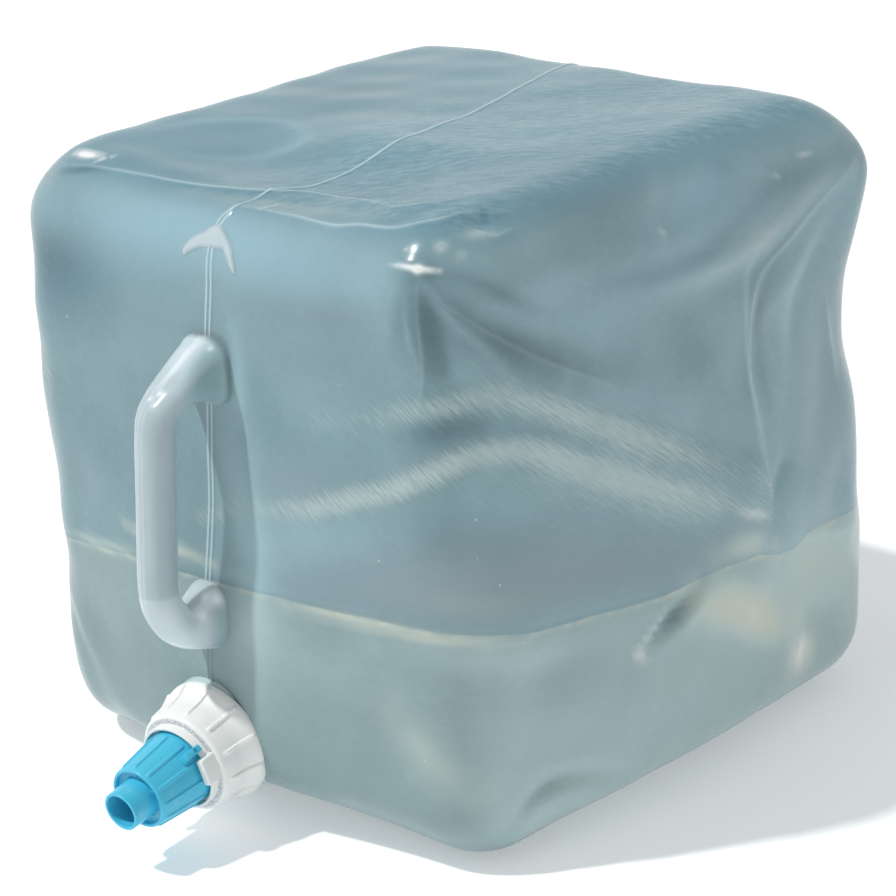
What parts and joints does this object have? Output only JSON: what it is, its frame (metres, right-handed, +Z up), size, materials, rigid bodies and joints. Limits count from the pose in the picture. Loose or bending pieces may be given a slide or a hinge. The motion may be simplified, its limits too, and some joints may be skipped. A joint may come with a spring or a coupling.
{
  "type": "collapsible water carrier",
  "caption": "Soft cube-shaped water carrier that folds flat, with a hollow carry handle, a screw cap and a twist spigot low on its front panel.",
  "frame": {"origin": "middle of the flat base that the carrier stands on", "axes": "+Z up, -Y towards the front panel with the handle and the spigot, +X to the right of someone who looks at that panel"},
  "size_m": [0.3204, 0.3816, 0.285],
  "materials": {
    "film": "soft polyethylene film, translucent, glossy",
    "thick_film": "thicker blow-moulded polyethylene, milky",
    "white_plastic": "moulded, satin",
    "blue_plastic": "moulded, semi-gloss",
    "seal": "soft rubber, matt"
  },
  "bodies": {
    "bag_front": {"front_panel": "film", "base_panel": "film", "top_panel": "film", "left_panel": "film", "right_panel": "film", "carry_handle": "thick_film", "threaded_neck": "film", "pinch_off_tab": "thick_film"},
    "bag_back": {"back_panel": "film"},
    "gasket": {"cap_gasket": "seal"},
    "cap": {"screw_cap": "white_plastic", "valve_stem": "white_plastic", "seat_washer": "seal"},
    "o_ring": {"nozzle_o_ring": "seal"},
    "nozzle": {"spigot_nozzle": "blue_plastic"}
  },
  "joints": [
    {"name": "bag_collapse", "type": "slide", "parent": "bag_front", "child": "bag_back", "axis": [0, 1, 0], "range_m": [-0.19, 0], "deforming": ["base_panel", "top_panel", "left_panel", "right_panel"]},
    {"name": "cap_lift", "type": "slide", "parent": "bag_front", "child": "gasket", "axis": [0.0983, -0.9849, -0.1426], "range_m": [0, 0.048]},
    {"name": "cap_turn", "type": "hinge", "parent": "gasket", "child": "cap", "pos_m": [0, -0.1592, 0.0398], "axis": [0.0983, -0.9849, -0.1426], "range_deg": [0, 2879]},
    {"name": "nozzle_lift", "type": "slide", "parent": "cap", "child": "o_ring", "axis": [0.0983, -0.9849, -0.1426], "range_m": [0, 0.0041]},
    {"name": "nozzle_turn", "type": "hinge", "parent": "o_ring", "child": "nozzle", "pos_m": [0, -0.1592, 0.0398], "axis": [0.0983, -0.9849, -0.1426], "range_deg": [0, 120]}
  ],
  "couplings": [
    {"joint": "cap_lift", "follows": "cap_turn", "m_per_rad": 0.00095493},
    {"joint": "nozzle_lift", "follows": "nozzle_turn", "m_per_rad": 0.0019099}
  ]
}
